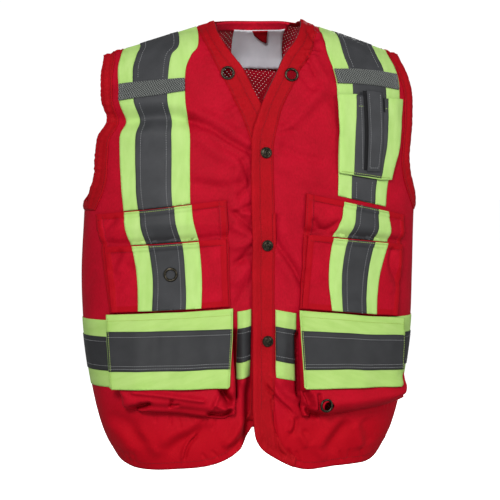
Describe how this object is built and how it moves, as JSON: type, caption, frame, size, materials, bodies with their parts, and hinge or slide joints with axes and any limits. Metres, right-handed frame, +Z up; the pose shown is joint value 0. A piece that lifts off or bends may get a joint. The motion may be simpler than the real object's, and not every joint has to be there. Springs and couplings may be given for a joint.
{
  "type": "mesh vest",
  "caption": "Sleeveless work vest with solid red fronts, a mesh back, reflective tapes over shoulders and waist, patch pockets with flaps and a snap front, in its worn form.",
  "frame": {"origin": "between the shoulders, in the plane of the side seams, at the height of the neck points", "axes": "+Z up the body, the front faces -Y, +X towards the wearer's left"},
  "size_m": [0.4984, 0.2552, 0.6533],
  "materials": {
    "red_twill": "woven red twill with a soft sheen",
    "red_mesh": "open red knitted mesh",
    "red_band": "folded red twill binding, stitched",
    "lime_tape": "fluorescent lime backing tape, fine rib",
    "silver_tape": "dark grey retro-reflective bead tape",
    "webbing": "grey woven webbing",
    "dark_metal": "antiqued dark brass",
    "satin": "bare grey satin label"
  },
  "bodies": {
    "root": {"front_panel_right": "red_twill", "front_panel_left": "red_twill", "upper_pocket_right": "red_twill", "upper_pocket_left": "red_twill", "lower_pocket_right": "red_twill", "lower_pocket_left": "red_twill", "cargo_pocket_right": "red_twill", "cargo_pocket_left": "red_twill", "back_panel": "red_mesh", "front_band_right": "red_band", "front_band_left": "red_band", "armhole_binding_front_right": "red_band", "armhole_binding_front_left": "red_band", "armhole_binding_back_right": "red_band", "armhole_binding_back_left": "red_band", "neck_facing_back": "red_band", "hang_loop": "red_band", "shoulder_tape_right": "lime_tape", "shoulder_tape_left": "lime_tape", "back_tape_right": "lime_tape", "back_tape_left": "lime_tape", "waist_tape_back": "lime_tape", "waist_tape_side_right": "lime_tape", "waist_tape_side_left": "lime_tape", "waist_tape_centre_right": "lime_tape", "waist_tape_centre_left": "lime_tape", "pocket_tape_upper_right": "lime_tape", "pocket_tape_upper_left": "lime_tape", "pocket_tape_lower_right": "lime_tape", "pocket_tape_lower_left": "lime_tape", "flap_right": "lime_tape", "flap_left": "lime_tape", "radio_pocket": "lime_tape", "shoulder_tape_silver_right": "silver_tape", "shoulder_tape_silver_left": "silver_tape", "back_tape_silver_right": "silver_tape", "back_tape_silver_left": "silver_tape", "waist_tape_back_silver": "silver_tape", "waist_tape_side_silver_right": "silver_tape", "waist_tape_side_silver_left": "silver_tape", "waist_tape_centre_silver_right": "silver_tape", "waist_tape_centre_silver_left": "silver_tape", "pocket_tape_upper_silver_right": "silver_tape", "pocket_tape_upper_silver_left": "silver_tape", "pocket_tape_lower_silver_right": "silver_tape", "pocket_tape_lower_silver_left": "silver_tape", "flap_silver_right": "silver_tape", "flap_silver_left": "silver_tape", "radio_pocket_silver": "silver_tape", "radio_strap": "silver_tape", "shoulder_tab_right": "webbing", "shoulder_tab_left": "webbing", "snap_top": "dark_metal", "snap_middle": "dark_metal", "snap_bottom": "dark_metal", "eyelet_neck_right": "dark_metal", "eyelet_neck_left": "dark_metal", "eyelet_pocket_tape": "dark_metal", "eyelet_cargo": "dark_metal", "neck_label": "satin"}
  },
  "joints": []
}
